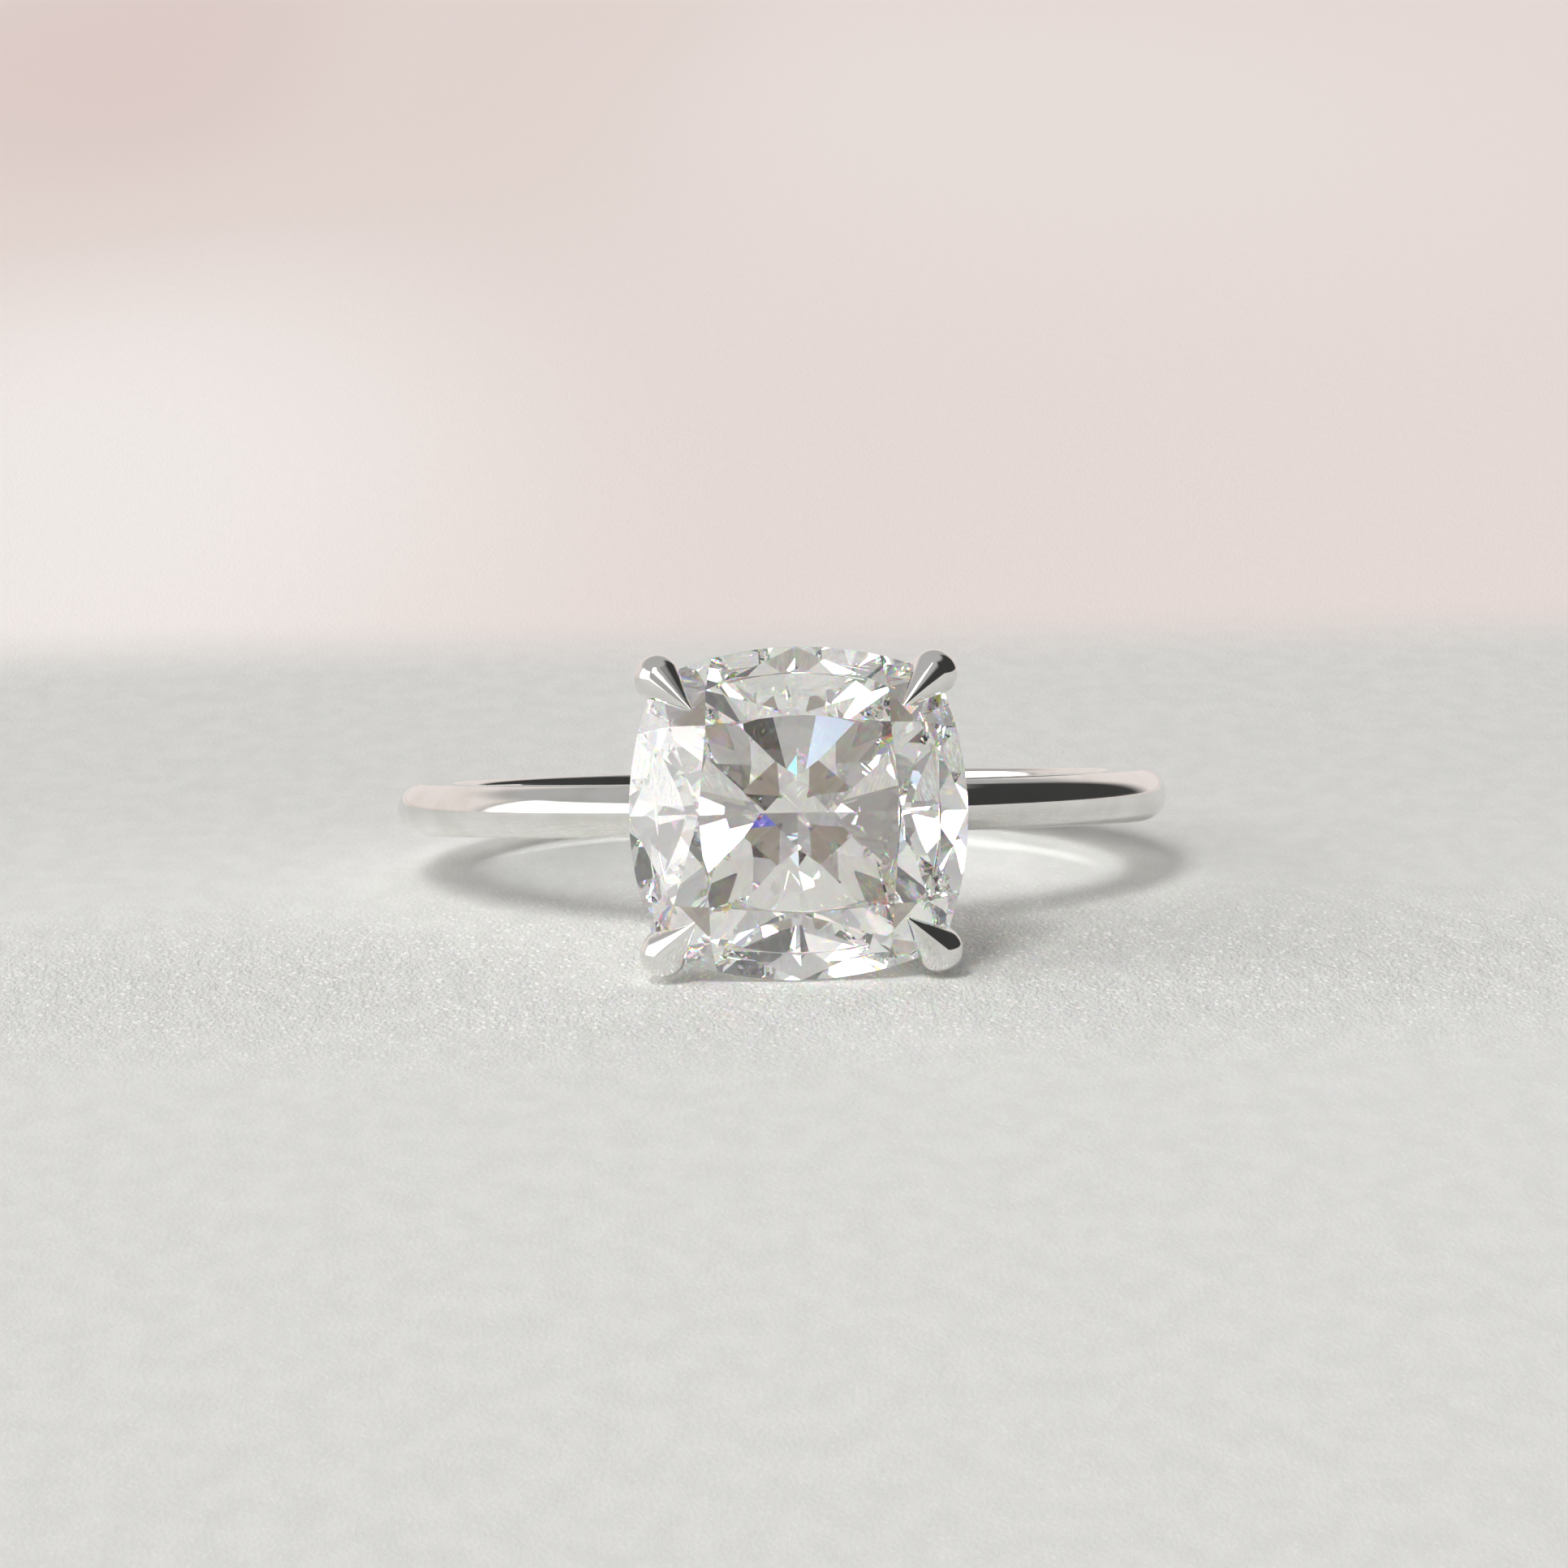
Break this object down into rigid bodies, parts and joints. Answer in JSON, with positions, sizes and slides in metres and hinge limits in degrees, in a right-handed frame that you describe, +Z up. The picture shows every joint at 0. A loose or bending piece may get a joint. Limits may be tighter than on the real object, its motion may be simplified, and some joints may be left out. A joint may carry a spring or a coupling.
{
  "type": "engagement ring",
  "caption": "Solitaire engagement ring: a cushion-cut clear diamond in a four-claw head on a slim half-round white metal band, lying on its side.",
  "frame": {"origin": "bottom centre of the ring's bounding box, on the surface that it lies on", "axes": "+Z up from the surface, -Y from the band towards the stone, +X to the right when the stone is seen from the front. The finger axis leans 8.0 degrees from +Z, because the head holds the band up."},
  "size_m": [0.0198, 0.026, 0.008],
  "materials": {
    "white_gold": "mirror polished white gold with faint wear lines",
    "diamond": "colourless faceted diamond, refractive index 2.417, with dispersion"
  },
  "bodies": {
    "root": {"shank": "white_gold", "head_base": "white_gold", "head_peg": "white_gold", "gallery_rail": "white_gold", "claw_upper_left": "white_gold", "claw_upper_right": "white_gold", "claw_lower_left": "white_gold", "claw_lower_right": "white_gold", "centre_stone": "diamond"}
  },
  "joints": []
}
